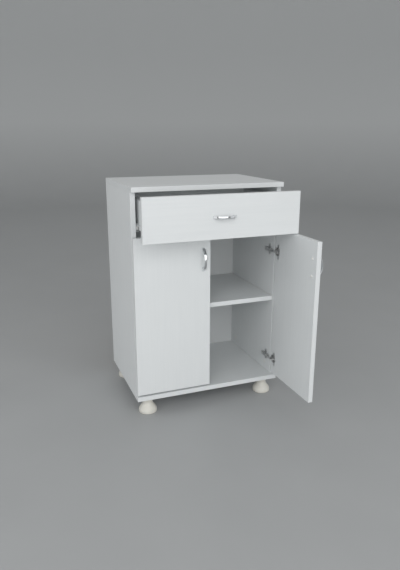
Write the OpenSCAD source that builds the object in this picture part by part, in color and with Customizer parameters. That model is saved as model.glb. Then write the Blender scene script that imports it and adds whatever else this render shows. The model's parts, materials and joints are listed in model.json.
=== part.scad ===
// Bathroom floor cabinet: one drawer over two doors, on four bell-shaped feet.
// X runs across the front, +Y from the front to the back, and +Z up from the floor.
// Parts are drawn about the cabinet's own middle: x = 0 is half its width, y = 0 is
// the front plane of the top, the base and the closed fronts. placed() then moves
// them so that the origin is the middle of the floor area the open cabinet covers.
// Handed parts are drawn on the right and mirrored for the left.

/* [Cabinet] */
// Width over the two side panels
cabinet_w = 600; // [540:1:700]
// Depth from the front plane to the rear edges
cabinet_d = 425; // [420:1:500]
// Height from the floor to the upper face of the top
cabinet_h = 884; // [840:1:960]
// Thickness of the carcass boards
board_t = 18; // [18:1:19]
// Thickness of the back panel and the drawer bottom
thin_t = 3; // [3:0.5:4]
// Height of the shelf's upper face above the floor
shelf_top = 424; // [300:1:520]
// Distance from the front plane to the shelf's front edge
shelf_setback = 24; // [22:1:80]

/* [Feet] */
// Height of a foot
foot_h = 64; // [50:1:80]
// Radius of the bell at its widest
foot_r = 36; // [30:1:40]
// Radius of the neck under the base
foot_neck_r = 19; // [15:0.5:22]
// Side face to foot axis
foot_inset_side = 49; // [42:1:80]
// Front plane to front foot axis
foot_inset_front = 38; // [38:1:80]
// Rear edge to rear foot axis
foot_inset_back = 38; // [38:1:80]

/* [Fronts] */
// Thickness of the doors and the drawer front
front_t = 18; // [18:1:19]
// Height of the drawer front
drawer_front_h = 157; // [150:1:200]
// Gap between the top and the drawer front
gap_top = 3; // [2:0.5:6]
// Gap between the drawer front and the doors
gap_fronts = 2.5; // [2:0.5:6]
// Gap between the doors and the base
gap_base = 7.5; // [2:0.5:12]
// Gap between the two doors
gap_doors = 5; // [3:0.5:6]
// How far a door stays inside the cabinet's width
reveal_door = 1; // [1:0.5:3]
// How far the drawer front stays inside the cabinet's width
reveal_drawer = 1.5; // [1:0.5:3]
// Gap between a closed front and the side panels
buffer_gap = 3; // [3:0.5:5]

/* [Open positions] */
// How far the drawer is pulled out
drawer_open = 126; // [0:1:260]
// Opening angle of the right door
right_open = 90; // [0:1:105]
// Opening angle of the left door
left_open = 0; // [0:1:105]

/* [Drawer] */
// Height of the drawer box
box_h = 105; // [80:1:110]
// Depth of the drawer box behind its front
box_d = 380; // [370:1:385]
// Thickness of the drawer box boards
box_t = 16; // [15:1:18]
// Lower edge of the drawer front to lower edge of the box
box_lift = 25; // [20:1:30]
// Space for the runners on each side of the box
slide_gap = 12.5; // [12.5:0.5:13]
// Length of the roller runners
slide_l = 350; // [300:50:350]

/* [Hinges] */
// Door top to upper hinge
hinge_from_top = 91; // [80:1:120]
// Door bottom to lower hinge
hinge_from_bottom = 66; // [60:1:120]

/* [Handles] */
// Overall length of a bow handle
handle_l = 92; // [85:1:110]
// Distance between the screw centres
handle_holes = 64; // [64:1:72]
// How far the bow stands off the front
handle_reach = 27; // [24:1:32]
// Width of the bow's band
handle_w = 10; // [8:1:14]
// Door's free edge to handle axis
handle_inset = 28; // [20:1:60]
// Door top to handle centre
handle_drop = 97; // [60:1:300]

/* [Hidden] */
$fn = 64;

WHITE = [0.86, 0.87, 0.87];
GREY_WHITE = [0.80, 0.81, 0.81];
CREAM = [0.88, 0.86, 0.80];
NICKEL = [0.62, 0.62, 0.60];
CHROME = [0.80, 0.81, 0.82];
BEECH = [0.80, 0.66, 0.46];

eps = 0.01;      // lets a cut run past the face it opens
past = 1;        // same, where nothing is near

// Carcass
half_w = cabinet_w / 2;
inner_half = half_w - board_t;
base_top = foot_h + board_t;
top_under = cabinet_h - board_t;
side_front = front_t + buffer_gap;
groove_depth = 6;
groove_inset = 6;                                 // back groove to rear edge
groove_play = 0.5;                                // panel edge to groove bottom
back_y = cabinet_d - groove_inset - thin_t;
shelf_play = 1;
pin_r = 2.5;                                      // shelf pin
pin_in = 8;
pin_out = 9;
shelf_pin_ys = [shelf_setback + 40, back_y - 45];

// Cam joints: a bolt in the top or base, drawn into a cam in the side panel
cam_r = 7.5;
cam_depth = 12.5;
cam_from_end = 34;
bolt_r = 3;
bolt_in = 11;
bolt_bore_r = 4;
dowel_r = 4;
dowel_in_panel = 10;
dowel_in_side = 20;
cam_ys = [side_front + 50, cabinet_d - 60];
dowel_ys = [side_front + 82, cabinet_d - 92];

// Fronts
drawer_top = top_under - gap_top;
drawer_z = drawer_top - drawer_front_h;
door_top = drawer_z - gap_fronts;
door_z = base_top + gap_base;
door_edge = half_w - reveal_door;
door_w = door_edge - gap_doors / 2;
drawer_half = half_w - reveal_drawer;

// Concealed hinges: cup in the door, arm and plate on the side panel
hinge_zs = [door_top - hinge_from_top, door_z + hinge_from_bottom];
cup_r = 17.5;
cup_wall = 1;
cup_depth = 13.5;
cup_x = door_edge - cup_r - 3;                    // 3 mm of board beside the cup
flange_t = 1.2;
flange_r = 18.5;
wing_x = cup_x - 6;
wing_half = 24;
wing_r = 6.5;
hinge_pin_r = 1.25;
hinge_play = 0.05;
pin_x = door_edge - 7.2;                          // swing axis of a closed right door
pin_y = front_t - 9;
ear_z = [4.8, 8.6];                               // pin ears inside the cup
arm_half = 4.2;                                   // half height of the arm's hook
arm_t = 2;
channel_half = 7.5;
channel_wall = 1.2;
channel_ys = [30, 84];
arm_x = inner_half - 10.5;                        // the arm's face towards the middle
plate_y = side_front + 37;
plate_holes = 16;                                 // half of the 32 mm hole pitch
arm_screw_ys = [50, 72];

// Runners
sheet = 1.2;
rail_h = 26;
rail_y = side_front + 2;
box_z = drawer_z + box_lift;
rail_z = box_z - 5;
rail_flange = 10;
rail_roller_r = 9.3;
rail_roller_y = rail_y + 12;
rail_roller_z = rail_z + sheet + 9.9;
runner_flange_z = rail_roller_z + rail_roller_r + 0.2;
runner_roller_r = 10.8;
runner_roller_y = front_t + slide_l - 12;
runner_roller_z = rail_z + sheet + runner_roller_r + 0.2;
roller_w = 7;
axle_r = 2.5;
axle_play = 0.05;
rail_screw_ys = [60, 200, 340];
runner_screw_ys = [50, 190, 330];

// Drawer box
box_half = inner_half - slide_gap;
bottom_z = box_z + 8;
slot_depth = 5;
box_joint_zs = [box_z + 30, box_z + 75];

// Handles: a band of a round arc between two screw bosses
bow_t = 5;
bow_r = (pow(handle_l / 2, 2) + pow(handle_reach, 2)) / (2 * handle_reach);
boss_r = 4.5;
boss_l = 12;
handle_screw_r = 2;
tapped = 9;                                       // thread depth in a boss

// Feet
foot_wall = 3;
foot_neck_h = 20;
foot_skirt_h = 9;                                 // top of the upright skirt
foot_edge_r = 5;
foot_screw_in = 15;

// A point of the closed right door, turned about the hinge pin by an angle
function turned(p, a) = [
    pin_x + (p[0] - pin_x) * cos(a) - (p[1] - pin_y) * sin(a),
    pin_y + (p[0] - pin_x) * sin(a) + (p[1] - pin_y) * cos(a)];
handle_x = gap_doors / 2 + handle_inset;
door_outline = [
    [gap_doors / 2, 0], [gap_doors / 2, front_t], [door_edge, 0], [door_edge, front_t],
    [handle_x - handle_w / 2, -handle_reach], [handle_x + handle_w / 2, -handle_reach]];
right_points = [for (p = door_outline) turned(p, right_open)];
left_points = [for (p = door_outline) turned(p, left_open)];
low_x = -max(half_w, max([for (p = left_points) p[0]]));
high_x = max(half_w, max([for (p = right_points) p[0]]));
low_y = min(-drawer_open - handle_reach, min([for (p = concat(left_points, right_points)) p[1]]));
centre = [(low_x + high_x) / 2, (low_y + cabinet_d) / 2];

module placed() translate([-centre[0], -centre[1], 0]) children();

module handed(side) {
    if (side < 0) mirror([1, 0, 0]) children();
    else children();
}

module both_sides() for (side = [-1, 1]) handed(side) children();

// A door and what rides on it, opened by an angle
module swung(side, angle)
    placed() handed(side)
        translate([pin_x, pin_y, 0]) rotate([0, 0, angle]) translate([-pin_x, -pin_y, 0])
            children();

module pulled_out() placed() translate([0, -drawer_open, 0]) children();

// Cylinders from a start point along +X and +Y
module rod_x(p, l, r) translate(p) rotate([0, 90, 0]) cylinder(r = r, h = l);
module rod_y(p, l, r) translate(p) rotate([-90, 0, 0]) cylinder(r = r, h = l);

// Flat-headed wood screw: the head's face at z = 0, the point towards -Z
module wood_screw(l, r, head_r) {
    translate([0, 0, -l]) cylinder(r = r, h = l);
    translate([0, 0, r - head_r]) cylinder(r1 = r, r2 = head_r, h = head_r - r);
}

// Places its children where a right side panel meets the base and the top: +Z runs
// into the flat panel, -Z into the side panel's edge
module at_side_joints(ys)
    for (y = ys, up = [false, true])
        translate([half_w - board_t / 2, y, up ? top_under : base_top])
            rotate([up ? 0 : 180, 0, 0]) children();

// ---- carcass ----

bolt_tail = cam_from_end + 2;                     // from the joint into the cam
module cam_bolt() translate([0, 0, -bolt_tail]) cylinder(r = bolt_r, h = bolt_tail + bolt_in);

// Room for the bolt and the cam in the board that holds the cam
module cam_cut(board) {
    translate([0, 0, -cam_from_end]) cylinder(r = bolt_bore_r, h = cam_from_end + past);
    rod_x([-board / 2 - past, 0, -cam_from_end], cam_depth + past, cam_r);
}

module dowel() translate([0, 0, -dowel_in_side]) cylinder(r = dowel_r, h = dowel_in_side + dowel_in_panel);

module back_shape(play)
    translate([-inner_half - groove_depth + play, back_y, base_top - groove_depth + play])
        cube([2 * (inner_half + groove_depth - play), thin_t,
              top_under - base_top + 2 * (groove_depth - play)]);

// Top or base: both lie across the side panels' ends, to the front plane
module flat_panel(z) {
    difference() {
        translate([-half_w, 0, z]) cube([cabinet_w, cabinet_d, board_t]);
        back_shape(0);
        both_sides() {
            at_side_joints(cam_ys) cam_bolt();
            at_side_joints(dowel_ys) dowel();
        }
        children();
    }
}

module top_panel() color(WHITE) placed() flat_panel(top_under);

module base_panel() color(WHITE) placed() flat_panel(foot_h) at_feet() foot_screw();

module hinge_plate_screw() wood_screw(14, 2, 3.6);

module at_plate_screws()
    for (z = hinge_zs, dz = [-plate_holes, plate_holes])
        translate([inner_half - arm_t, plate_y, z + dz]) rotate([0, -90, 0]) children();

module at_rail_screws()
    for (y = rail_screw_ys)
        translate([inner_half - sheet, y, rail_z + rail_h / 2]) rotate([0, -90, 0]) children();

module side_panel() {
    difference() {
        translate([inner_half, side_front, base_top])
            cube([board_t, cabinet_d - side_front, top_under - base_top]);
        back_shape(0);
        at_side_joints(cam_ys) cam_cut(board_t);
        at_side_joints(dowel_ys) dowel();
        for (y = shelf_pin_ys)
            rod_x([inner_half - past, y, shelf_top - board_t - pin_r], pin_in + past, pin_r);
        at_plate_screws() hinge_plate_screw();
        at_rail_screws() wood_screw(14, 1.75, 3.4);
    }
}

module side_panel_left() color(WHITE) placed() handed(-1) side_panel();
module side_panel_right() color(WHITE) placed() side_panel();

module back_panel() color(GREY_WHITE) placed() back_shape(groove_play);

module shelf() color(WHITE) placed()
    translate([-inner_half + shelf_play, shelf_setback, shelf_top - board_t])
        cube([2 * (inner_half - shelf_play), back_y - shelf_play - shelf_setback, board_t]);

module shelf_pins() color(NICKEL) placed() both_sides()
    for (y = shelf_pin_ys)
        rod_x([inner_half - pin_out, y, shelf_top - board_t - pin_r], pin_in + pin_out, pin_r);

// Cam at a joint's bolt, let into the inner face of a board of the given thickness
module cam_lock(board)
    translate([-board / 2, 0, -cam_from_end]) difference() {
        rod_x([0, 0, 0], cam_depth, cam_r);
        translate([board / 2, 0, -3]) cylinder(r = bolt_r + 0.3, h = cam_r + 3 + past);
    }

module cam_locks() color(NICKEL) placed() both_sides() at_side_joints(cam_ys) cam_lock(board_t);

module cam_bolts() color(NICKEL) placed() both_sides() at_side_joints(cam_ys) cam_bolt();

module dowels() color(BEECH) placed() both_sides() at_side_joints(dowel_ys) dowel();

// ---- feet ----

foot_ys = [foot_inset_front, cabinet_d - foot_inset_back];

module at_foot(side, y) translate([side * (half_w - foot_inset_side), y, 0]) children();
module at_feet() for (side = [-1, 1], y = foot_ys) at_foot(side, y) children();

// Outline of the bell, from the neck down to the rounded lower edge
bell_steps = 14;
neck_z = foot_h - foot_neck_h;
function bell_r(u) = foot_neck_r + (foot_r - foot_neck_r) * (1 - cos(180 * u)) / 2;
bell = [for (i = [0:bell_steps]) let (u = i / bell_steps)
    [bell_r(u), neck_z + (foot_skirt_h - neck_z) * u]];
edge_steps = 6;
lower_edge = [for (i = [0:edge_steps]) let (a = 90 * i / edge_steps)
    [foot_r - foot_edge_r * (1 - cos(a)), foot_edge_r * (1 - sin(a))]];
hollow = [for (i = [bell_steps:-1:0]) bell[i] - [foot_wall, 0]];

module foot() {
    difference() {
        rotate_extrude($fn = 96)
            polygon(concat([[0, foot_h], [foot_neck_r, foot_h]], bell, lower_edge,
                           [[foot_r - foot_edge_r - foot_wall, 0],
                            [foot_r - 2 * foot_wall, foot_skirt_h / 2]],
                           hollow, [[0, neck_z]]));
        foot_screw();
    }
}

module foot_screw()
    translate([0, 0, neck_z]) rotate([180, 0, 0]) {
        translate([0, 0, -foot_neck_h - foot_screw_in])
            cylinder(r = 2.5, h = foot_neck_h + foot_screw_in);
        cylinder(r = 5.5, h = 3);
    }

module foot_front_left() color(CREAM) placed() at_foot(-1, foot_ys[0]) foot();
module foot_front_right() color(CREAM) placed() at_foot(1, foot_ys[0]) foot();
module foot_back_left() color(CREAM) placed() at_foot(-1, foot_ys[1]) foot();
module foot_back_right() color(CREAM) placed() at_foot(1, foot_ys[1]) foot();
module foot_screws() color(NICKEL) placed() at_feet() foot_screw();

// ---- concealed hinges ----

module at_hinges() for (z = hinge_zs) translate([0, 0, z]) children();

module cup_screw() wood_screw(13, 1.75, 2.9);

module at_cup_screws()
    for (dz = [-wing_half, wing_half])
        translate([wing_x, front_t + flange_t, dz]) rotate([-90, 0, 0]) children();

module hinge_pin() translate([pin_x, pin_y, -ear_z[1]]) cylinder(r = hinge_pin_r, h = 2 * ear_z[1]);

// Round cup with two ears that hold the pin, a flange and two screw wings
module hinge_cup() {
    floor_y = front_t - cup_depth;
    difference() {
        union() {
            difference() {
                union() {
                    rod_y([cup_x, floor_y, 0], cup_depth, cup_r);
                    rod_y([cup_x, front_t, 0], flange_t, flange_r);
                    for (dz = [-wing_half, wing_half]) rod_y([wing_x, front_t, dz], flange_t, wing_r);
                    translate([wing_x - wing_r, front_t, -wing_half])
                        cube([2 * wing_r, flange_t, 2 * wing_half]);
                }
                rod_y([cup_x, floor_y + cup_wall, 0], cup_depth + flange_t, cup_r - cup_wall);
            }
            intersection() {
                rod_y([cup_x, floor_y, 0], cup_depth, cup_r - cup_wall / 2);
                for (up = [0, 1]) mirror([0, 0, up])
                    translate([pin_x - 3.3, floor_y, ear_z[0]]) cube([12, 7.5, ear_z[1] - ear_z[0]]);
            }
        }
        hinge_pin();
        at_cup_screws() cup_screw();
    }
}

// Hooked arm: a channel over the plate, a hook into the cup, and an eye for the pin
module hinge_arm() {
    hook_y = pin_y - 3.2;
    difference() {
        union() {
            difference() {
                translate([arm_x, channel_ys[0], -channel_half])
                    cube([6.5, channel_ys[1] - channel_ys[0], 2 * channel_half]);
                translate([arm_x + channel_wall, channel_ys[0] - past, -channel_half + channel_wall])
                    cube([6.5, channel_ys[1] - channel_ys[0] + 2 * past, 2 * (channel_half - channel_wall)]);
            }
            translate([arm_x, hook_y, -arm_half]) cube([arm_t, channel_ys[0] + 3 - hook_y, 2 * arm_half]);
            translate([arm_x, hook_y, -arm_half]) cube([pin_x - 1 - arm_x, arm_t, 2 * arm_half]);
            translate([pin_x, pin_y, -arm_half]) cylinder(r = 2.4, h = 2 * arm_half);
        }
        translate([pin_x, pin_y, -arm_half - past])
            cylinder(r = hinge_pin_r + hinge_play, h = 2 * (arm_half + past));
        at_arm_screws() arm_screw();
    }
}

module arm_screw() {
    cylinder(r = 3.5, h = 1.2);
    translate([0, 0, -6]) cylinder(r = 2, h = 6);
}

module at_arm_screws() for (y = arm_screw_ys) translate([arm_x, y, 0]) rotate([0, -90, 0]) children();

// Mounting plate: a cross of two screw wings and the block that carries the arm
module hinge_plate() {
    block_x = arm_x + channel_wall;
    difference() {
        union() {
            for (dz = [-plate_holes, plate_holes]) rod_x([inner_half - arm_t, plate_y, dz], arm_t, 7);
            translate([inner_half - arm_t, plate_y - 7, -plate_holes]) cube([arm_t, 14, 2 * plate_holes]);
            translate([block_x, plate_y - 20, -6]) cube([inner_half - block_x, 42, 12]);
        }
        at_arm_screws() arm_screw();
        for (dz = [-plate_holes, plate_holes])
            translate([inner_half - arm_t, plate_y, dz]) rotate([0, -90, 0]) hinge_plate_screw();
    }
}

module fixed_hinge_part(side, i) placed() handed(side) translate([0, 0, hinge_zs[i]]) children();

module hinge_plate_left_upper() color(NICKEL) fixed_hinge_part(-1, 0) hinge_plate();
module hinge_plate_left_lower() color(NICKEL) fixed_hinge_part(-1, 1) hinge_plate();
module hinge_plate_right_upper() color(NICKEL) fixed_hinge_part(1, 0) hinge_plate();
module hinge_plate_right_lower() color(NICKEL) fixed_hinge_part(1, 1) hinge_plate();
module hinge_plate_screws() color(NICKEL) placed() both_sides() at_plate_screws() hinge_plate_screw();
module hinge_arm_left_upper() color(NICKEL) fixed_hinge_part(-1, 0) hinge_arm();
module hinge_arm_left_lower() color(NICKEL) fixed_hinge_part(-1, 1) hinge_arm();
module hinge_arm_right_upper() color(NICKEL) fixed_hinge_part(1, 0) hinge_arm();
module hinge_arm_right_lower() color(NICKEL) fixed_hinge_part(1, 1) hinge_arm();
module hinge_arm_screws() color(NICKEL) placed() both_sides() at_hinges() at_arm_screws() arm_screw();

// ---- runners ----

// Fixed rail: a channel on the side panel, with the roller's axle at its front end
module slide_rail() {
    web_x = inner_half - sheet;
    difference() {
        union() {
            translate([web_x, rail_y, rail_z]) cube([sheet, slide_l, rail_h]);
            for (z = [rail_z, rail_z + rail_h - sheet])
                translate([inner_half - rail_flange, rail_y, z]) cube([rail_flange, slide_l, sheet]);
            rod_x([web_x - roller_w - 1.2, rail_roller_y, rail_roller_z], roller_w + 1.2 + eps, axle_r);
            rod_x([web_x - roller_w - 2, rail_roller_y, rail_roller_z], 0.8, 4);
        }
        at_rail_screws() wood_screw(14, 1.75, 3.4);
    }
}

module roller(p, r) {
    difference() {
        rod_x(p, roller_w, r);
        rod_x(p - [past, 0, 0], roller_w + 2 * past, axle_r + axle_play);
    }
}

module rail_roller() roller([inner_half - sheet - roller_w - 1, rail_roller_y, rail_roller_z], rail_roller_r);

// Moving runner: an angle under the drawer side, a flange that rides on the rail's
// roller, and its own roller at the rear end
module drawer_runner() {
    web_z = box_z - sheet;
    web_h = runner_flange_z + sheet - web_z;
    difference() {
        union() {
            translate([box_half, front_t, web_z]) cube([sheet, slide_l, web_h]);
            translate([box_half - 12, front_t, web_z]) cube([12 + eps, slide_l, sheet]);
            translate([box_half, front_t, runner_flange_z]) cube([10, slide_l - 28, sheet]);
            rod_x([box_half, runner_roller_y, runner_roller_z], roller_w + 3.3, axle_r);
            rod_x([box_half + roller_w + 3.3, runner_roller_y, runner_roller_z], 0.7, 4);
        }
        at_runner_screws() runner_screw();
    }
}

module runner_roller() roller([box_half + 3, runner_roller_y, runner_roller_z], runner_roller_r);

module runner_screw() {
    cylinder(r = 1.75, h = 13);
    translate([0, 0, -1.6]) cylinder(r = 3.5, h = 1.6);
}

module at_runner_screws()
    for (y = runner_screw_ys) translate([box_half - 7, y, box_z - sheet]) children();

module slide_rail_left() color(WHITE) placed() handed(-1) slide_rail();
module slide_rail_right() color(WHITE) placed() slide_rail();
module slide_screws() color(NICKEL) placed() both_sides() at_rail_screws() wood_screw(14, 1.75, 3.4);
module rail_roller_left() color(WHITE) placed() handed(-1) rail_roller();
module rail_roller_right() color(WHITE) placed() rail_roller();
module drawer_runner_left() color(WHITE) pulled_out() handed(-1) drawer_runner();
module drawer_runner_right() color(WHITE) pulled_out() drawer_runner();
module runner_roller_left() color(WHITE) pulled_out() handed(-1) runner_roller();
module runner_roller_right() color(WHITE) pulled_out() runner_roller();

// ---- drawer, drawn closed ----

module bottom_shape(play)
    translate([-box_half + box_t - slot_depth + play, front_t - slot_depth + play, bottom_z])
        cube([2 * (box_half - box_t + slot_depth - play), box_d - box_t + 2 * (slot_depth - play), thin_t]);

// Places its children where a right drawer side meets the front: +Z runs forwards
module at_front_joints()
    for (z = box_joint_zs)
        translate([box_half - box_t / 2, front_t, z]) rotate([90, 0, 0]) children();

module box_screw() wood_screw(50, 3, 5);

module at_box_screws()
    for (z = box_joint_zs)
        translate([box_half, front_t + box_d - box_t / 2, z]) rotate([0, 90, 0]) children();

module drawer_front() color(WHITE) pulled_out() {
    difference() {
        translate([-drawer_half, 0, drawer_z]) cube([2 * drawer_half, front_t, drawer_front_h]);
        bottom_shape(0);
        both_sides() at_front_joints() cam_bolt();
        at_drawer_handle() handle_holes_cut();
    }
}

module drawer_side() {
    difference() {
        translate([box_half - box_t, front_t, box_z]) cube([box_t, box_d, box_h]);
        bottom_shape(0);
        at_front_joints() cam_cut(box_t);
        at_box_screws() box_screw();
        at_runner_screws() runner_screw();
    }
}

module drawer_side_left() color(WHITE) pulled_out() handed(-1) drawer_side();
module drawer_side_right() color(WHITE) pulled_out() drawer_side();

module drawer_back() color(WHITE) pulled_out() {
    difference() {
        translate([-box_half + box_t, front_t + box_d - box_t, box_z])
            cube([2 * (box_half - box_t), box_t, box_h]);
        bottom_shape(0);
        both_sides() at_box_screws() box_screw();
    }
}

module drawer_bottom() color(GREY_WHITE) pulled_out() bottom_shape(groove_play);
module drawer_cam_locks() color(NICKEL) pulled_out() both_sides() at_front_joints() cam_lock(box_t);
module drawer_cam_bolts() color(NICKEL) pulled_out() both_sides() at_front_joints() cam_bolt();

module drawer_screws() color(NICKEL) pulled_out() both_sides() {
    at_box_screws() box_screw();
    at_runner_screws() runner_screw();
}

// ---- handles ----

// Bow handle along X on the plane y = 0, standing off towards -Y
module bow_handle() {
    difference() {
        union() {
            intersection() {
                translate([-handle_l / 2, -handle_reach, -handle_w / 2])
                    cube([handle_l, handle_reach, handle_w]);
                translate([0, bow_r - handle_reach, -handle_w / 2]) difference() {
                    cylinder(r = bow_r, h = handle_w, $fn = 128);
                    translate([0, 0, -past]) cylinder(r = bow_r - bow_t, h = handle_w + 2 * past, $fn = 128);
                }
            }
            for (x = [-1, 1] * handle_holes / 2) rod_y([x, -boss_l, 0], boss_l, boss_r);
        }
        for (x = [-1, 1] * handle_holes / 2) rod_y([x, -tapped, 0], tapped + past, handle_screw_r);
    }
}

// Machine screw from the back of a front board into a boss
module handle_screws()
    for (x = [-1, 1] * handle_holes / 2) {
        rod_y([x, -tapped, 0], tapped + front_t, handle_screw_r);
        rod_y([x, front_t, 0], 2.4, 4);
    }

module handle_holes_cut()
    for (x = [-1, 1] * handle_holes / 2) rod_y([x, -past, 0], front_t + 2 * past, handle_screw_r + 0.25);

module at_drawer_handle() translate([0, 0, drawer_z + drawer_front_h / 2]) children();
module at_door_handle() translate([handle_x, 0, door_top - handle_drop]) rotate([0, 90, 0]) children();

module drawer_handle() color(CHROME) pulled_out() at_drawer_handle() bow_handle();
module drawer_handle_screws() color(NICKEL) pulled_out() at_drawer_handle() handle_screws();
module door_handle_left() color(CHROME) swung(-1, left_open) at_door_handle() bow_handle();
module door_handle_right() color(CHROME) swung(1, right_open) at_door_handle() bow_handle();
module door_handle_screws_left() color(NICKEL) swung(-1, left_open) at_door_handle() handle_screws();
module door_handle_screws_right() color(NICKEL) swung(1, right_open) at_door_handle() handle_screws();

// ---- doors, drawn closed on the right ----

module door() {
    difference() {
        translate([gap_doors / 2, 0, door_z]) cube([door_w, front_t, door_top - door_z]);
        at_hinges() {
            rod_y([cup_x, front_t - cup_depth, 0], cup_depth + past, cup_r);
            at_cup_screws() cup_screw();
        }
        at_door_handle() handle_holes_cut();
    }
}

module door_left() color(WHITE) swung(-1, left_open) door();
module door_right() color(WHITE) swung(1, right_open) door();
module hinge_cups_left() color(NICKEL) swung(-1, left_open) at_hinges() hinge_cup();
module hinge_cups_right() color(NICKEL) swung(1, right_open) at_hinges() hinge_cup();
module hinge_cup_screws_left() color(NICKEL) swung(-1, left_open) at_hinges() at_cup_screws() cup_screw();
module hinge_cup_screws_right() color(NICKEL) swung(1, right_open) at_hinges() at_cup_screws() cup_screw();
module hinge_pins_left() color(NICKEL) swung(-1, left_open) at_hinges() hinge_pin();
module hinge_pins_right() color(NICKEL) swung(1, right_open) at_hinges() hinge_pin();

top_panel();
base_panel();
side_panel_left();
side_panel_right();
back_panel();
shelf();
shelf_pins();
cam_locks();
cam_bolts();
dowels();
foot_front_left();
foot_front_right();
foot_back_left();
foot_back_right();
foot_screws();
slide_rail_left();
slide_rail_right();
slide_screws();
hinge_plate_left_upper();
hinge_plate_left_lower();
hinge_plate_right_upper();
hinge_plate_right_lower();
hinge_plate_screws();
hinge_arm_left_upper();
hinge_arm_left_lower();
hinge_arm_right_upper();
hinge_arm_right_lower();
hinge_arm_screws();
rail_roller_left();
rail_roller_right();
drawer_front();
drawer_side_left();
drawer_side_right();
drawer_back();
drawer_bottom();
drawer_runner_left();
drawer_runner_right();
drawer_cam_locks();
drawer_cam_bolts();
drawer_screws();
runner_roller_left();
runner_roller_right();
drawer_handle();
drawer_handle_screws();
door_left();
hinge_cups_left();
hinge_cup_screws_left();
hinge_pins_left();
door_handle_left();
door_handle_screws_left();
door_right();
hinge_cups_right();
hinge_cup_screws_right();
hinge_pins_right();
door_handle_right();
door_handle_screws_right();
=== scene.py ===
"""Looks of the bathroom floor cabinet: materials, fine shapes, light and camera.

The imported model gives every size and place. The names of its nodes carry left and
right as seen from the front. All lengths are in metres.
"""

import json
import math

import bmesh
import bpy
from mathutils import Matrix, Vector


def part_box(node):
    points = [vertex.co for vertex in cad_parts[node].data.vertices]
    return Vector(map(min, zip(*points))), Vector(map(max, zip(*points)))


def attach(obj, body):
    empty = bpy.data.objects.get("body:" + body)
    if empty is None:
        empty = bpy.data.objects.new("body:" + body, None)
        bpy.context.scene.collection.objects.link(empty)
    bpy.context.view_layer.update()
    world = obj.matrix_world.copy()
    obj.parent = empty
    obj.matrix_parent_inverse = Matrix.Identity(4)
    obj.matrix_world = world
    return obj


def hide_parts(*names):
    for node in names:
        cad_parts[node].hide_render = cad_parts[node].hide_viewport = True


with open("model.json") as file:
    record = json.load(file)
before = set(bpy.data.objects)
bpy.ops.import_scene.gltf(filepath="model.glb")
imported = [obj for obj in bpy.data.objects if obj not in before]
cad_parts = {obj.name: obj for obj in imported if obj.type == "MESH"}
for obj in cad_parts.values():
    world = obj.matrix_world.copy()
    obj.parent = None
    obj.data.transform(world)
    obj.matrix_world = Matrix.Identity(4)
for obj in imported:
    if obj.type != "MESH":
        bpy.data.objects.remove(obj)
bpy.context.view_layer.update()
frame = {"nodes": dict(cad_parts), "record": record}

MM = 0.001
NODES = frame["nodes"]
BODY_OF = {n: body for body, names in frame["record"]["behaviour"]["bodies"].items() for n in names}
SLOT_OF = {n: NODES[n].data.materials[0].name for n in NODES}
MIDDLE_X = sum(c.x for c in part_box("base_panel")) / 2
AXES = "xyz"
SAME_POINT = 0.002 * MM    # imported points closer than this are one
SHARP = math.radians(35)   # a surface that turns more than this has a real edge


# ---- node materials ----

def add(tree, kind, inputs, **settings):
    """A new shader node. Inputs are given by name or number, as values or sockets."""
    made = tree.nodes.new("ShaderNode" + kind)
    for key, value in settings.items():
        setattr(made, key, value)
    for key, value in inputs.items():
        if isinstance(value, bpy.types.NodeSocket):
            tree.links.new(value, made.inputs[key])
        else:
            made.inputs[key].default_value = value
    return made


def math_of(tree, operation, a, b=0.0):
    """The result of a Math node."""
    return add(tree, "Math", {0: a, 1: b}, operation=operation).outputs[0]


def mix(tree, factor, a, b):
    """A colour that goes from a to b."""
    return add(tree, "Mix", {0: factor, 6: a, 7: b}, data_type="RGBA").outputs[2]


def ramp(tree, value, low, high, to_low=0.0, to_high=1.0):
    """The value, mapped from low..high to to_low..to_high and held there."""
    return add(tree, "MapRange", {0: value, 1: low, 2: high, 3: to_low, 4: to_high}).outputs[0]


def noise(tree, at, scale, detail, stretch=(1, 1, 1), roughness=0.5):
    """Noise of scale per metre. A small number in stretch draws it out along that axis."""
    moved = add(tree, "Mapping", {"Vector": at, "Scale": stretch}).outputs[0]
    inputs = {"Vector": moved, "Scale": scale, "Detail": detail, "Roughness": roughness}
    return add(tree, "TexNoise", inputs).outputs[0]


def bump(tree, height, depth, strength, under=None):
    """A bump of that depth in metres, on top of another bump's normal if one is given."""
    inputs = {"Height": height, "Distance": depth, "Strength": strength}
    if under is not None:
        inputs["Normal"] = under
    return add(tree, "Bump", inputs).outputs[0]


def new_look(name):
    """An empty node material: its tree, its shader, and the place and normal on the piece."""
    material = bpy.data.materials.new(name)
    material.use_nodes = True
    tree = material.node_tree
    shader = tree.nodes["Principled BSDF"]
    coordinates = add(tree, "TexCoord", {})
    return material, tree, shader, coordinates.outputs["Object"], coordinates.outputs["Normal"]


def link(tree, shader, **sockets):
    """Joins sockets to the shader's inputs; an underscore in a name stands for a space."""
    for name, socket in sockets.items():
        tree.links.new(socket, shader.inputs[name.replace("_", " ")])


MELAMINE = (0.795, 0.818, 0.824, 1)
MELAMINE_DEEP = (0.775, 0.799, 0.806, 1)
SEAM = (0.42, 0.42, 0.40, 1)
CHIP_DARK = (0.30, 0.19, 0.10, 1)
CHIP_LIGHT = (0.62, 0.46, 0.29, 1)
BAND_T = 0.9 * MM          # edge band, as it shows on the board's broad face
SEAM_W = 0.16 * MM         # half the width of the joint line beside it


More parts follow.
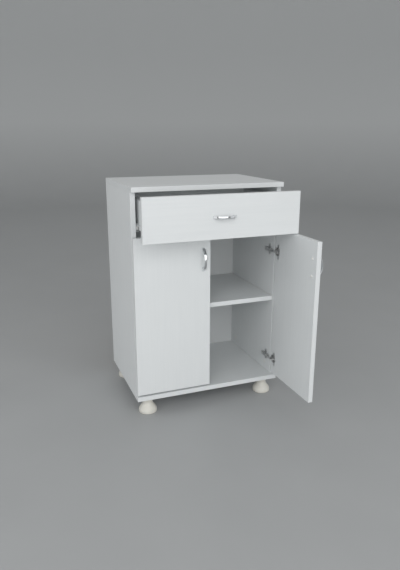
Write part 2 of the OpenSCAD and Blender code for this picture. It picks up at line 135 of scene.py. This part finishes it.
def chipboard(tree, at):
    """Raw cut chipboard: a colour of two browns, and the height of its flakes."""
    flakes = add(tree, "TexVoronoi", {"Vector": at, "Scale": 700.0})
    shade = noise(tree, at, 250.0, 4.0)
    tone = math_of(tree, "ADD", ramp(tree, flakes.outputs["Distance"], 0.0, 0.9), shade)
    return mix(tree, ramp(tree, tone, 0.5, 1.3), CHIP_DARK, CHIP_LIGHT), flakes.outputs["Distance"]


def board_look(node, thin, grain, raw):
    """White melamine board with an edge band round it.

    thin is the axis across the board and grain the axis that its print runs along. raw
    names the sides left uncovered, such as "+y -x", and may be empty.
    """
    material, tree, shader, at, _ = new_look("white_board_" + node)
    low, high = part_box(node)
    split = add(tree, "SeparateXYZ", {0: at})
    to_edge = None
    for i, axis in enumerate(AXES):
        if axis == thin:
            continue
        off_centre = math_of(tree, "SUBTRACT", split.outputs[i], (low[i] + high[i]) / 2)
        off_centre = math_of(tree, "ABSOLUTE", off_centre)
        inside = math_of(tree, "SUBTRACT", (high[i] - low[i]) / 2, off_centre)
        to_edge = inside if to_edge is None else math_of(tree, "MINIMUM", to_edge, inside)
    band = ramp(tree, to_edge, BAND_T, BAND_T - 0.05 * MM)
    from_seam = math_of(tree, "ABSOLUTE", math_of(tree, "SUBTRACT", to_edge, BAND_T))
    seam = ramp(tree, from_seam, SEAM_W, 0.0, 0.0, 0.55)
    stretch = tuple(0.035 if axis == grain else 1.0 for axis in AXES)
    streaks = noise(tree, at, 110.0, 4.0, stretch)
    pores = noise(tree, at, 1400.0, 2.0, stretch)
    cloud = noise(tree, at, 9.0, 2.0)
    pearl = noise(tree, at, 1300.0, 2.0)
    streaks = math_of(tree, "MULTIPLY", streaks, 0.7)
    tone = math_of(tree, "ADD", streaks, math_of(tree, "MULTIPLY", cloud, 0.3))
    colour = mix(tree, ramp(tree, tone, 0.36, 0.64), MELAMINE_DEEP, MELAMINE)
    colour = mix(tree, seam, colour, SEAM)
    rough = ramp(tree, math_of(tree, "ADD", pearl, cloud), 0.7, 1.3, 0.36, 0.47)
    rough = math_of(tree, "SUBTRACT", rough, math_of(tree, "MULTIPLY", band, 0.07))
    face = math_of(tree, "SUBTRACT", 1.0, band)
    relief = math_of(tree, "ADD", pearl, math_of(tree, "MULTIPLY", ramp(tree, pores, 0.35, 0.55), 0.8))
    normal = bump(tree, math_of(tree, "MULTIPLY", relief, face), 0.025 * MM, 0.6)
    normal = bump(tree, math_of(tree, "SUBTRACT", 1.0, seam), 0.05 * MM, 0.8, normal)
    if raw:
        bare = None
        for side in raw.split():
            i = AXES.index(side[1])
            near = high[i] - 0.35 * MM if side[0] == "+" else low[i] + 0.35 * MM
            far = near + (0.1 if side[0] == "+" else -0.1) * MM
            this = ramp(tree, split.outputs[i], near, far)
            bare = this if bare is None else math_of(tree, "MAXIMUM", bare, this)
        core, flakes = chipboard(tree, at)
        colour = mix(tree, bare, colour, core)
        rough = math_of(tree, "ADD", rough, math_of(tree, "MULTIPLY", bare, 0.4))
        normal = bump(tree, math_of(tree, "MULTIPLY", flakes, bare), 0.4 * MM, 0.7, normal)
    link(tree, shader, Base_Color=colour, Roughness=rough, Normal=normal)
    return material


def hardboard_look(node, bare_behind):
    """Thin fibreboard: white paint, and bare brown fibre behind if bare_behind is true."""
    material, tree, shader, at, outwards = new_look("hardboard_" + node)
    split = add(tree, "SeparateXYZ", {0: outwards})
    bare = ramp(tree, split.outputs["Y"], -0.2, 0.2) if bare_behind else 0.0
    fibre = noise(tree, at, 500.0, 6.0, roughness=0.7)
    cloud = noise(tree, at, 5.0, 3.0)
    specks = noise(tree, at, 1800.0, 1.0)
    paint = mix(tree, ramp(tree, cloud, 0.3, 0.7), (0.745, 0.765, 0.77, 1), (0.775, 0.795, 0.80, 1))
    brown = mix(tree, ramp(tree, fibre, 0.3, 0.7), (0.24, 0.145, 0.075, 1), (0.37, 0.245, 0.14, 1))
    brown = mix(tree, ramp(tree, specks, 0.68, 0.75, 0.0, 0.6), brown, (0.13, 0.075, 0.04, 1))
    rough = math_of(tree, "ADD", bare, math_of(tree, "MULTIPLY", fibre, 0.2))
    rough = ramp(tree, rough, 0.0, 1.2, 0.5, 0.8)
    height = math_of(tree, "MULTIPLY", fibre, ramp(tree, bare, 0.0, 1.0, 0.3, 1.0))
    normal = bump(tree, height, 0.08 * MM, 0.7)
    link(tree, shader, Base_Color=mix(tree, bare, paint, brown), Roughness=rough, Normal=normal)
    return material


def metal_look(name, dark, light, rough_low, rough_high, grain, relief):
    """Plated metal: cloudy colour, uneven gloss and a fine relief, in millimetres."""
    material, tree, shader, at, _ = new_look(name)
    cloud = noise(tree, at, grain / 5, 3.0)
    fine = noise(tree, at, grain * 4, 3.0)
    colour = mix(tree, ramp(tree, cloud, 0.35, 0.65), dark, light)
    rough = ramp(tree, math_of(tree, "ADD", cloud, fine), 0.7, 1.3, rough_low, rough_high)
    normal = bump(tree, fine, relief * MM, 0.5)
    shader.inputs["Metallic"].default_value = 1.0
    link(tree, shader, Base_Color=colour, Roughness=rough, Normal=normal)
    return material


def plastic_look(name, dark, light, rough_low, rough_high, peel, relief, subsurface=0.0):
    """Moulded plastic or powder coat: a faint mottle and the skin's fine unevenness."""
    material, tree, shader, at, _ = new_look(name)
    cloud = noise(tree, at, 35.0, 3.0)
    skin = noise(tree, at, peel, 2.0)
    fine = noise(tree, at, peel * 5, 2.0)
    colour = mix(tree, ramp(tree, cloud, 0.3, 0.7), dark, light)
    rough = ramp(tree, math_of(tree, "ADD", cloud, fine), 0.7, 1.3, rough_low, rough_high)
    normal = bump(tree, fine, relief * 0.4 * MM, 0.5, bump(tree, skin, relief * MM, 0.6))
    shader.inputs["Subsurface Weight"].default_value = subsurface
    shader.inputs["Subsurface Radius"].default_value = (1.0, 0.9, 0.7)
    shader.inputs["Subsurface Scale"].default_value = 1.5 * MM
    link(tree, shader, Base_Color=colour, Roughness=rough, Normal=normal)
    return material


def beech_look():
    """Beech of the dowels: its figure runs along Z, with darker flecks."""
    material, tree, shader, at, _ = new_look("beech")
    figure = noise(tree, at, 300.0, 5.0, (1, 1, 0.08))
    flecks = noise(tree, at, 1500.0, 2.0, (1, 1, 0.25))
    colour = mix(tree, ramp(tree, figure, 0.3, 0.7), (0.45, 0.27, 0.14, 1), (0.62, 0.42, 0.24, 1))
    colour = mix(tree, ramp(tree, flecks, 0.6, 0.7, 0.0, 0.5), colour, (0.33, 0.18, 0.09, 1))
    rough = ramp(tree, figure, 0.3, 0.7, 0.6, 0.75)
    link(tree, shader, Base_Color=colour, Roughness=rough, Normal=bump(tree, figure, 0.05 * MM, 0.6))
    return material


LOOKS = {
    "zinc_steel": metal_look(
        "zinc_steel", (0.50, 0.53, 0.57, 1), (0.66, 0.67, 0.66, 1), 0.26, 0.42, 500.0, 0.015),
    "nickel_steel": metal_look(
        "nickel_steel", (0.66, 0.67, 0.68, 1), (0.74, 0.74, 0.73, 1), 0.3, 0.44, 300.0, 0.012),
    "chrome": metal_look(
        "chrome", (0.74, 0.76, 0.78, 1), (0.80, 0.81, 0.82, 1), 0.05, 0.11, 200.0, 0.002),
    "white_steel": plastic_look(
        "white_steel", (0.76, 0.78, 0.78, 1), (0.80, 0.82, 0.82, 1), 0.34, 0.46, 900.0, 0.03),
    "white_plastic": plastic_look(
        "white_plastic", (0.77, 0.78, 0.77, 1), (0.82, 0.82, 0.80, 1), 0.32, 0.42, 400.0, 0.02, 0.1),
    "cream_plastic": plastic_look(
        "cream_plastic", (0.705, 0.69, 0.63, 1), (0.745, 0.73, 0.67, 1), 0.3, 0.42, 300.0, 0.03, 0.1),
    "beech": beech_look(),
}

# Per board: the axis across it, the axis of its grain, and its raw sides
BOARDS = {
    "top_panel": ("z", "x", "+y"),
    "base_panel": ("z", "x", "+y"),
    "side_panel_left": ("x", "z", "+y"),
    "side_panel_right": ("x", "z", "+y"),
    "shelf": ("z", "x", "+y -x +x"),
    "drawer_front": ("y", "x", ""),
    "drawer_side_left": ("x", "y", "+y"),
    "drawer_side_right": ("x", "y", "+y"),
    "drawer_back": ("y", "x", ""),
    "door_left": ("y", "z", ""),
    "door_right": ("x", "z", ""),
}

NODE_LOOKS = {name: LOOKS.get(SLOT_OF[name]) for name in NODES}
NODE_LOOKS["back_panel"] = hardboard_look("back_panel", bare_behind=True)
NODE_LOOKS["drawer_bottom"] = hardboard_look("drawer_bottom", bare_behind=False)
for name, layout in BOARDS.items():
    NODE_LOOKS[name] = board_look(name, *layout)

for name, node in NODES.items():
    node.material_slots[0].link = "OBJECT"
    node.material_slots[0].material = NODE_LOOKS[name]


# ---- edges of the CAD parts ----

ROUNDING = {"white_steel": 0.3 * MM, "nickel_steel": 0.25 * MM}


def round_edges(piece, width):
    """Joins the imported faces and rounds the piece's edges, by modifiers."""
    weld = piece.modifiers.new("weld", "WELD")
    weld.merge_threshold = SAME_POINT
    bevel = piece.modifiers.new("round", "BEVEL")
    bevel.width = width
    bevel.segments = 3
    bevel.limit_method = "ANGLE"
    bevel.angle_limit = SHARP
    bevel.use_clamp_overlap = False
    bevel.harden_normals = True


for name, node in NODES.items():
    if SLOT_OF[name] in ROUNDING:
        round_edges(node, ROUNDING[SLOT_OF[name]])


# ---- mesh tools ----

def put(bm, name, body, slot, *replaced, look=None):
    """Shows bm as a piece on a body, in place of the CAD nodes in replaced, if any.

    It gets the slot's look unless another is given. bm is freed.
    """
    bmesh.ops.recalc_face_normals(bm, faces=bm.faces)
    mesh = bpy.data.meshes.new(name)
    bm.to_mesh(mesh)
    bm.free()
    mesh.shade_smooth()
    mesh.set_sharp_from_angle(angle=SHARP)
    mesh.materials.append(look or LOOKS[slot])
    piece = bpy.data.objects.new(name, mesh)
    bpy.context.scene.collection.objects.link(piece)
    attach(piece, body)
    if replaced:
        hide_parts(*replaced)
    return piece


def soften(points, closed=False, steps=5):
    """Rounds a profile. Each point is (x, y, cut): the rounding starts cut before it."""
    smooth = []
    last = len(points) - 1
    for i, (x, y, cut) in enumerate(points):
        if cut == 0 or (not closed and i in (0, last)):
            smooth.append((x, y))
            continue
        here = Vector((x, y))
        before = (Vector(points[i - 1][:2]) - here).normalized() * cut
        after = (Vector(points[(i + 1) % len(points)][:2]) - here).normalized() * cut
        for k in range(steps + 1):
            t = k / steps
            smooth.append(tuple(here + before * (1 - t) ** 2 + after * t ** 2))
    return smooth


def lathe(bm, profile, place, segments, closed=False):
    """Turns a profile of (radius, height) points about the Z axis of place."""
    rings = []
    for r, h in profile:
        count = segments if r > 1e-7 else 1
        turns = [2 * math.pi * k / count for k in range(count)]
        rings.append([bm.verts.new(place @ Vector((r * math.cos(t), r * math.sin(t), h))) for t in turns])
    pairs = list(zip(rings, rings[1:]))
    if closed:
        pairs.append((rings[-1], rings[0]))
    for a, b in pairs:
        for k in range(segments):
            n = (k + 1) % segments
            corners = (a[k % len(a)], a[n % len(a)], b[n % len(b)], b[k % len(b)])
            corners = list(dict.fromkeys(corners))
            if len(corners) > 2:
                bm.faces.new(corners)


def facing(at, direction):
    """A place at a point, with its Z axis along a direction."""
    return Matrix.Translation(at) @ Vector(direction).to_track_quat("Z", "Y").to_matrix().to_4x4()


def solids(node):
    """The lowest and highest corner of each separate solid of a CAD node."""
    bm = bmesh.new()
    bm.from_mesh(NODES[node].data)
    bmesh.ops.remove_doubles(bm, verts=bm.verts, dist=SAME_POINT)
    left = set(bm.verts)
    found = []
    while left:
        reached = [left.pop()]
        for vert in reached:
            for edge in vert.link_edges:
                other = edge.other_vert(vert)
                if other in left:
                    left.remove(other)
                    reached.append(other)
        low = Vector(min(v.co[i] for v in reached) for i in range(3))
        high = Vector(max(v.co[i] for v in reached) for i in range(3))
        found.append((low, high))
    bm.free()
    return sorted(found, key=lambda box: tuple(box[0]))


def inwards(low, high):
    """1 or -1: the way along X from a solid to the cabinet's middle."""
    return 1 if (low.x + high.x) / 2 < MIDDLE_X else -1


# ---- boards ----

EASED = 0.6 * MM           # radius of a board's outer edges


def box_sides(vert, low, high):
    """The sides of the box that a vertex lies in, such as "+x"."""
    near = 0.02 * MM
    sides = {"-" + axis for i, axis in enumerate(AXES) if abs(vert.co[i] - low[i]) < near}
    return sides | {"+" + axis for i, axis in enumerate(AXES) if abs(vert.co[i] - high[i]) < near}


def eased_board(node):
    """The board with its outer edges rounded, and its broad faces and holes left flat."""
    low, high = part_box(node)
    bm = bmesh.new()
    bm.from_mesh(NODES[node].data)
    bmesh.ops.remove_doubles(bm, verts=bm.verts, dist=SAME_POINT)
    bmesh.ops.dissolve_limit(bm, angle_limit=math.radians(0.5), verts=bm.verts, edges=bm.edges)
    outline = []
    for edge in bm.edges:
        a, b = edge.verts
        if len(box_sides(a, low, high) & box_sides(b, low, high)) == 2:
            outline.append(edge)
    bmesh.ops.bevel(bm, geom=outline, offset=EASED, segments=4, profile=0.5, affect="EDGES")
    bmesh.ops.triangulate(bm, faces=[f for f in bm.faces if len(f.verts) > 4])
    piece = put(bm, node + "_eased", BODY_OF[node], "white_board", node, look=NODE_LOOKS[node])
    for face in piece.data.polygons:
        face.use_smooth = max(abs(c) for c in face.normal) < 0.9999


for name in BOARDS:
    eased_board(name)


# ---- cross recesses in the screw and cam heads ----

# Per node: the axis that its solids lie along, which end is the head (1 high, -1 low,
# or in towards or out from the middle), and the recess's arm length and depth in mm
CROSSED = {
    "hinge_plate_screws": [("x", "in", 2.3, 1.3)],
    "hinge_arm_screws": [("x", "in", 2.1, 1.0)],
    "hinge_cup_screws_left": [("y", 1, 1.9, 1.1)],
    "hinge_cup_screws_right": [("x", -1, 1.9, 1.1)],
    "slide_screws": [("x", "in", 2.1, 1.2)],
    "cam_locks": [("x", "in", 4.2, 2.6)],
    "drawer_cam_locks": [("x", "in", 4.2, 2.6)],
    "foot_screws": [("z", -1, 3.4, 1.8)],
    "drawer_screws": [("x", "out", 3.2, 1.8), ("z", -1, 2.2, 1.1)],
}


def cross_outline(arm, width):
    """The 12 corners of a cross. arm is from its middle, width is half an arm's width."""
    corners = []
    for k in range(4):
        turn = Matrix.Rotation(k * math.pi / 2, 2)
        corners += [turn @ Vector(p) for p in ((width, width), (arm, width), (arm, -width))]
    return sorted(corners, key=lambda p: math.atan2(p.y, p.x))


def add_cross(bm, place, arm, depth):
    """A cross-shaped plug that narrows downwards from just above the place's origin."""
    rings = []
    for height, spread in ((0.1 * MM, 1.04), (-depth * 0.7, 0.7), (-depth, 0.3)):
        outline = cross_outline(arm * spread, arm * 0.2 * (0.5 + 0.5 * spread))
        rings.append([bm.verts.new(place @ Vector((p.x, p.y, height))) for p in outline])
    for a, b in zip(rings, rings[1:]):
        for k in range(len(a)):
            n = (k + 1) % len(a)
            bm.faces.new((a[k], a[n], b[n], b[k]))
    bm.faces.new(rings[0])
    bm.faces.new(rings[-1])


def cut_away(piece, bm):
    """Cuts bm out of a piece and frees it."""
    bmesh.ops.recalc_face_normals(bm, faces=bm.faces)
    mesh = bpy.data.meshes.new("tool")
    bm.to_mesh(mesh)
    bm.free()
    tool = bpy.data.objects.new("tool", mesh)
    bpy.context.scene.collection.objects.link(tool)
    boolean = piece.modifiers.new("cut", "BOOLEAN")
    boolean.solver = "EXACT"
    boolean.object = tool
    graph = bpy.context.evaluated_depsgraph_get()
    shape = bpy.data.meshes.new_from_object(piece.evaluated_get(graph))
    piece.modifiers.clear()
    piece.data = shape
    bpy.data.objects.remove(tool)


def cross_heads(node, kinds):
    """The node's solids with a cross recess cut into each head."""
    tool = bmesh.new()
    for low, high in solids(node):
        longest = AXES[max(range(3), key=lambda i: high[i] - low[i])]
        axis, end, arm, depth = next((k for k in kinds if k[0] == longest), kinds[0])
        i = AXES.index(axis)
        sign = end if end in (1, -1) else inwards(low, high) * (1 if end == "in" else -1)
        head = (low + high) / 2
        head[i] = high[i] if sign > 0 else low[i]
        direction = [sign if k == i else 0 for k in range(3)]
        add_cross(tool, facing(head, direction), arm * MM, depth * MM)
    bm = bmesh.new()
    bm.from_mesh(NODES[node].data)
    bmesh.ops.remove_doubles(bm, verts=bm.verts, dist=SAME_POINT)
    piece = put(bm, node + "_crossed", BODY_OF[node], SLOT_OF[node], node)
    cut_away(piece, tool)
    piece.data.set_sharp_from_angle(angle=SHARP)


for name, kinds in CROSSED.items():
    cross_heads(name, kinds)


# ---- cover caps ----

def cap_heads(node, name, axis, end, radius, height, flank, sunk=0.0):
    """White cover caps of that radius and height over the heads of a node's solids.

    flank is the width of a cap's sloping rim, and a cap starts sunk below the head's top.
    """
    bm = bmesh.new()
    i = AXES.index(axis)
    outline = [(0, height, 0), (radius - flank, height, 0.6 * flank),
               (radius, 0.4 * MM, 0.3 * MM), (radius, 0, 0)]
    for low, high in solids(node):
        sign = end if end in (1, -1) else inwards(low, high)
        at = (low + high) / 2
        at[i] = (high[i] if sign > 0 else low[i]) - sign * sunk
        direction = [sign if k == i else 0 for k in range(3)]
        lathe(bm, soften(outline), facing(at, direction), 48)
    put(bm, name, BODY_OF[node], "white_plastic")


HEAD_H = 2.4 * MM          # a handle screw's head
SCREW_CAP = (5.9 * MM, HEAD_H + 0.5 * MM, 1.8 * MM, HEAD_H)   # radius, height, flank, sunk

cap_heads("cam_locks", "cam_caps", "x", "in", 8.6 * MM, 0.9 * MM, 1.6 * MM)
cap_heads("drawer_handle_screws", "drawer_screw_caps", "y", 1, *SCREW_CAP)
cap_heads("door_handle_screws_left", "door_screw_caps_left", "y", 1, *SCREW_CAP)
cap_heads("door_handle_screws_right", "door_screw_caps_right", "x", -1, *SCREW_CAP)


# ---- handles ----

BAND_W = 10 * MM
BAND_THICK = 4.2 * MM
CROWN = 0.2 * MM
BAND_STEPS = 72
HOLE_X = 32 * MM           # handle's middle to a screw
POST_SIDES = 40
# A post's radius in mm at each share of its height
POST = [(5.1, 0.0), (5.1, 0.05), (4.7, 0.1), (4.0, 0.2), (3.9, 0.6), (4.1, 0.85), (4.4, 1.0)]


def bow_handle(node, along, out):
    """A polished bow: a crowned band on a round arc, on two turned posts."""
    low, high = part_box(node)
    i, o = AXES.index(along), AXES.index(out[1])
    sign = 1 if out[0] == "+" else -1
    half = (high[i] - low[i]) / 2
    reach = high[o] - low[o]
    foot = (low + high) / 2
    foot[o] = low[o] if sign > 0 else high[o]
    x_axis = Vector([1 if k == i else 0 for k in range(3)])
    y_axis = Vector([sign if k == o else 0 for k in range(3)])
    turn = Matrix((x_axis, y_axis, x_axis.cross(y_axis))).transposed().to_4x4()
    place = Matrix.Translation(foot) @ turn
    radius = (half ** 2 + reach ** 2) / (2 * reach)
    centre_y = reach - radius
    w, t = BAND_W / 2, BAND_THICK
    section = soften([(-w, -CROWN, 1.1 * MM), (-w / 2, -CROWN / 4, 0), (0, 0, 0), (w / 2, -CROWN / 4, 0),
                      (w, -CROWN, 1.1 * MM), (w, -t, 1.0 * MM), (-w, -t, 1.0 * MM)], closed=True, steps=6)
    past_board = math.radians(6)   # the arc goes on below the board's face and is cut off there
    end = math.acos((radius - reach) / radius) + past_board
    bm = bmesh.new()
    rings = []
    for k in range(BAND_STEPS + 1):
        a = end * (2 * k / BAND_STEPS - 1)
        ring = []
        for z, depth in section:
            r = radius + depth
            ring.append(bm.verts.new((r * math.sin(a), centre_y + r * math.cos(a), z)))
        rings.append(ring)
    for a, b in zip(rings, rings[1:]):
        for k in range(len(section)):
            n = (k + 1) % len(section)
            bm.faces.new((a[k], a[n], b[n], b[k]))
    everything = bm.verts[:] + bm.edges[:] + bm.faces[:]
    bmesh.ops.bisect_plane(bm, geom=everything, plane_co=(0, 0, 0), plane_no=(0, -1, 0), clear_outer=True)
    bmesh.ops.holes_fill(bm, edges=[e for e in bm.edges if e.is_boundary])
    middle_r = radius - t / 2
    for side in (-1, 1):
        posts = []
        for r, share in POST:
            ring = []
            for k in range(POST_SIDES):
                a = 2 * math.pi * k / POST_SIDES
                x = side * HOLE_X + r * MM * math.cos(a)
                top = centre_y + math.sqrt(middle_r ** 2 - x ** 2)
                ring.append(bm.verts.new((x, share * top, r * MM * math.sin(a))))
            posts.append(ring)
        for a, b in zip(posts, posts[1:]):
            for k in range(POST_SIDES):
                n = (k + 1) % POST_SIDES
                bm.faces.new((a[k], a[n], b[n], b[k]))
        bm.faces.new(posts[0])
        bm.faces.new(posts[-1])
    bmesh.ops.transform(bm, matrix=place, verts=bm.verts)
    put(bm, node + "_bow", BODY_OF[node], "chrome", node)


bow_handle("drawer_handle", "x", "-y")
bow_handle("door_handle_left", "z", "-y")
bow_handle("door_handle_right", "z", "+x")


# ---- feet ----

NECK_R = 19 * MM
NECK_H = 20 * MM
SKIRT_H = 9 * MM           # where the bell's curve ends and its lip begins to turn in
LIP_R = 5 * MM
WALL = 3 * MM
TUBE_R = 9 * MM            # the screw's tube
TUBE_BORE = 6.4 * MM
TUBE_LOW = 22 * MM         # its lower end
RIBS = 6
RIB_HALF = 0.9 * MM        # half a rib's thickness
RIB_LOW = 11 * MM          # a rib's lower edge at the wall
RIB_IN_LOW = 25 * MM       # and at the tube


def bell_foot(node):
    """A moulded bell foot: hollow below, with a screw tube and ribs."""
    low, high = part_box(node)
    axis = Matrix.Translation(((low.x + high.x) / 2, (low.y + high.y) / 2, 0))
    r, h = (high.x - low.x) / 2, high.z
    neck = h - NECK_H
    bell = []
    for k in range(33):
        u = k / 32
        bell.append((NECK_R + (r - NECK_R) * (1 - math.cos(math.pi * u)) / 2, neck + (SKIRT_H - neck) * u))
    lip = []
    for k in range(11):
        a = math.pi / 2 * k / 10
        lip.append((r - LIP_R * (1 - math.cos(a)), LIP_R * (1 - math.sin(a))))
    top = soften([(0, h, 0), (NECK_R, h, 0.7 * MM), (NECK_R, neck, 0)])
    inner = [(x - WALL, z) for x, z in reversed(bell)]
    tube = soften([(TUBE_R, neck, 0), (TUBE_R - 0.4 * MM, TUBE_LOW, 0.8 * MM),
                   (TUBE_BORE, TUBE_LOW, 0.8 * MM), (TUBE_BORE, neck, 0)])
    sole = soften([(r - LIP_R - WALL, 0, 0), (r - 2 * WALL, SKIRT_H / 2, 1.5 * MM), inner[0] + (0,)])
    bm = bmesh.new()
    lathe(bm, top + bell[1:] + lip + sole[:-1] + inner + tube + [(0, neck)], axis, 96)
    for rib in range(RIBS):
        turn = axis @ Matrix.Rotation(2 * math.pi * rib / RIBS, 4, "Z")
        outline = [(TUBE_R - MM, RIB_IN_LOW), (r - WALL - 1.5 * MM, RIB_LOW)]
        outline += [(x + 0.8 * MM, z) for x, z in inner if RIB_LOW + MM < z < neck]
        outline += [(TUBE_R - MM, neck + 0.5 * MM)]
        sides = []
        for y in (-RIB_HALF, RIB_HALF):
            side = [bm.verts.new(turn @ Vector((x, y, z))) for x, z in outline]
            bm.faces.new(side)
            sides.append(side)
        for k in range(len(outline)):
            n = (k + 1) % len(outline)
            bm.faces.new((sides[0][k], sides[0][n], sides[1][n], sides[1][k]))
    put(bm, node + "_bell", "cabinet", "cream_plastic", node)


for name in NODES:
    if name.startswith("foot_") and name != "foot_screws":
        bell_foot(name)


# ---- rollers ----

BORE_R = 2.55 * MM
WEB_IN = 1.1 * MM          # how far the web lies in from the wheel's side


def nylon_roller(node):
    """A moulded wheel with a rounded tread and a recessed web, round its axle."""
    low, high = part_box(node)
    width = high.x - low.x
    r = (high.z - low.z) / 2
    outline = [(BORE_R, 0, 0), (BORE_R + 1.4 * MM, 0, 0.2 * MM), (BORE_R + 1.7 * MM, WEB_IN, 0.3 * MM),
               (r - 2.2 * MM, WEB_IN, 0.4 * MM), (r - 1.8 * MM, 0, 0.2 * MM), (r, 0, 0.9 * MM)]
    mirrored = [(x, width - h, cut) for x, h, cut in reversed(outline)]
    bm = bmesh.new()
    start = Vector((low.x, (low.y + high.y) / 2, (low.z + high.z) / 2))
    profile = soften(outline + mirrored, closed=True)
    lathe(bm, profile, facing(start, (1, 0, 0)), 64, closed=True)
    put(bm, node + "_wheel", BODY_OF[node], "white_plastic", node)


for name in NODES:
    if "_roller_" in name:
        nylon_roller(name)


# ---- floor, light and camera ----

def stage_floor():
    """A plain pale floor that curves up into a paler wall all round, far from the cabinet."""
    flat, curve, top = 6.0, 2.5, 3.6
    bm = bmesh.new()
    profile = [(0, 0), (flat / 2, 0), (flat, 0)]
    for k in range(1, 17):
        a = math.pi / 2 * k / 16
        profile.append((flat + curve * math.sin(a), curve * (1 - math.cos(a))))
    profile.append((flat + curve, top))
    lathe(bm, profile, Matrix.Identity(4), 96)
    mesh = bpy.data.meshes.new("floor")
    bm.to_mesh(mesh)
    bm.free()
    mesh.shade_smooth()
    floor = bpy.data.objects.new("floor", mesh)
    bpy.context.scene.collection.objects.link(floor)
    material, tree, shader, at, _ = new_look("floor")
    cloud = noise(tree, at, 3.0, 3.0)
    height = add(tree, "SeparateXYZ", {0: at}).outputs["Z"]
    colour = mix(tree, ramp(tree, cloud, 0.3, 0.7), (0.405, 0.415, 0.42, 1), (0.425, 0.435, 0.44, 1))
    colour = mix(tree, ramp(tree, height, -0.1, 1.2), colour, (0.66, 0.675, 0.68, 1))
    link(tree, shader, Base_Color=colour, Roughness=ramp(tree, cloud, 0.3, 0.7, 0.6, 0.7))
    mesh.materials.append(material)


LIGHT_AIM = Vector((0, 0, 0.45))


def soft_light(name, azimuth, elevation, distance, width, height, power):
    """A large area light. Azimuth turns from straight in front towards the right."""
    data = bpy.data.lights.new(name, "AREA")
    data.shape = "RECTANGLE"
    data.size = width
    data.size_y = height
    data.energy = power
    light = bpy.data.objects.new(name, data)
    light.visible_camera = False
    a, e = math.radians(azimuth), math.radians(elevation)
    away = Vector((math.sin(a) * math.cos(e), -math.cos(a) * math.cos(e), math.sin(e)))
    light.location = LIGHT_AIM + away * distance
    light.rotation_euler = away.to_track_quat("Z", "Y").to_euler()
    bpy.context.scene.collection.objects.link(light)


def set_world(colour, strength):
    """An even glow from all round."""
    world = bpy.data.worlds.new("studio")
    world.use_nodes = True
    background = world.node_tree.nodes["Background"]
    background.inputs["Color"].default_value = colour
    background.inputs["Strength"].default_value = strength
    bpy.context.scene.world = world


FRAME_SIDE = 570            # the picture's long side; the focal length is in the same unit
FOCAL = 542.03
SENSOR = 36.0               # millimetres
CAMERA_AT = (-0.7745, -1.9173, 1.0737)
CAMERA_YAW = 21.2145        # degrees to the right of straight ahead
CAMERA_PITCH = -15.882
CAMERA_ROLL = 0.081
CAMERA_SHIFT = -0.5 / FRAME_SIDE


def set_camera():
    """The camera that sees the cabinet as the picture does."""
    data = bpy.data.cameras.new("camera")
    data.sensor_width = SENSOR
    data.lens = FOCAL / FRAME_SIDE * SENSOR
    data.shift_y = CAMERA_SHIFT
    camera = bpy.data.objects.new("camera", data)
    turn = (Matrix.Rotation(math.radians(-CAMERA_YAW), 4, "Z")
            @ Matrix.Rotation(math.radians(90 + CAMERA_PITCH), 4, "X")
            @ Matrix.Rotation(math.radians(CAMERA_ROLL), 4, "Z"))
    camera.matrix_world = Matrix.Translation(CAMERA_AT) @ turn
    bpy.context.scene.collection.objects.link(camera)
    bpy.context.scene.camera = camera


stage_floor()
set_world((0.99, 1.0, 1.0, 1), 0.435)
soft_light("softbox", -13, 19, 3.8, 5.9, 3.4, 97)
soft_light("side_fill", -85, 12, 3.1, 3.0, 2.5, 17)
soft_light("right_fill", 64, 10, 4.0, 3.4, 2.4, 14)
set_camera()
bpy.context.scene.view_settings.view_transform = "Standard"
